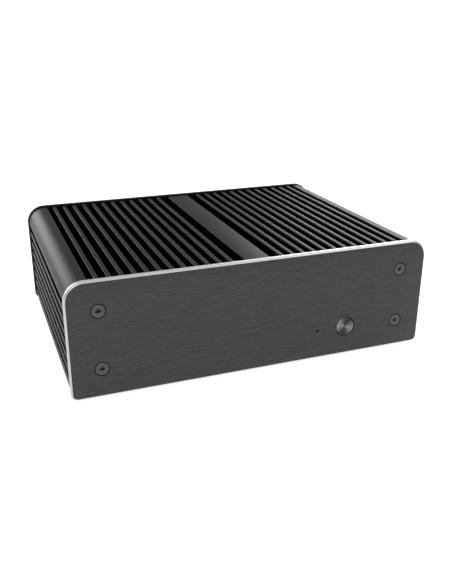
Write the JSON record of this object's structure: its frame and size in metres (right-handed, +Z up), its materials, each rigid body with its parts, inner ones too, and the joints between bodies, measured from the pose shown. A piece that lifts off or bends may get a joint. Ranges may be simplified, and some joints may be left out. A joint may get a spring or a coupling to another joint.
{
  "type": "fanless mini pc",
  "caption": "Fanless mini computer: finned extruded aluminium body with rounded upper corners, brushed front panel, flush power button and internal mainboard.",
  "frame": {"origin": "middle of the footprint, on the surface the feet stand on", "axes": "+X to the right seen from the front, +Y from front to rear, +Z up"},
  "size_m": [0.24, 0.177, 0.0775],
  "materials": {
    "body_black": "black anodised, fine blasted",
    "front_grey": "dark grey anodised, brushed side to side, bare chamfered edge",
    "rear_black": "black anodised",
    "cover_black": "black powder coat",
    "rubber_black": "matte",
    "screw_grey": "dark zinc",
    "button_silver": "spun, dished",
    "steel": "plated",
    "plastic_black": "moulded",
    "plastic_ivory": "moulded",
    "board_dark": "solder mask",
    "block_aluminium": "milled",
    "led_clear": "clear moulded",
    "brass": "turned"
  },
  "bodies": {
    "case": {"top_heat_sink": "body_black", "side_profile_left": "body_black", "side_profile_right": "body_black", "front_panel": "front_grey", "rear_panel": "rear_black", "bottom_cover": "cover_black", "foot_front_left": "rubber_black", "foot_front_right": "rubber_black", "foot_rear_left": "rubber_black", "foot_rear_right": "rubber_black", "front_screw_lower_left": "screw_grey", "front_screw_upper_left": "screw_grey", "front_screw_lower_right": "screw_grey", "front_screw_upper_right": "screw_grey", "rear_screw_lower_left": "screw_grey", "rear_screw_upper_left": "screw_grey", "rear_screw_lower_right": "screw_grey", "rear_screw_upper_right": "screw_grey", "cover_screw_front_left": "screw_grey", "cover_screw_front_right": "screw_grey", "cover_screw_rear_left": "screw_grey", "cover_screw_rear_right": "screw_grey", "button_frame": "plastic_black", "button_spring": "steel", "switch_board": "board_dark", "tact_switch": "plastic_black", "power_led": "led_clear", "frame_screw_left": "steel", "frame_screw_right": "steel", "button_lead": "plastic_black", "mainboard": "board_dark", "standoff_front_left": "brass", "standoff_front_right": "brass", "standoff_rear_left": "brass", "standoff_rear_right": "brass", "board_screw_front_left": "steel", "board_screw_front_right": "steel", "board_screw_rear_left": "steel", "board_screw_rear_right": "steel", "processor": "steel", "thermal_block": "block_aluminium", "block_screw_front_left": "steel", "block_screw_front_right": "steel", "block_screw_rear_left": "steel", "block_screw_rear_right": "steel", "memory_slot": "plastic_black", "memory_module": "board_dark", "storage_socket": "plastic_black", "storage_drive": "board_dark", "storage_screw": "steel", "coin_cell": "steel", "io_shield": "steel", "dc_jack": "plastic_black", "video_port": "steel", "usb_ports": "steel", "lan_port": "steel", "audio_jacks": "plastic_black"},
    "power_button": {"power_button": "button_silver"},
    "memory_latch_front": {"memory_latch_front": "plastic_ivory"},
    "memory_latch_rear": {"memory_latch_rear": "plastic_ivory"}
  },
  "joints": [
    {"name": "power_button_press", "type": "slide", "parent": "case", "child": "power_button", "axis": [0, 1, 0], "range_m": [0, 0.0008], "stiffness_N_per_m": 1500, "deforming": ["button_spring"]},
    {"name": "memory_latch_front_hinge", "type": "hinge", "parent": "case", "child": "memory_latch_front", "pos_m": [-0.066, -0.0745, 0.0175], "axis": [1, 0, 0], "range_deg": [0, 25]},
    {"name": "memory_latch_rear_hinge", "type": "hinge", "parent": "case", "child": "memory_latch_rear", "pos_m": [-0.066, 0.0725, 0.0175], "axis": [-1, 0, 0], "range_deg": [0, 25]}
  ]
}
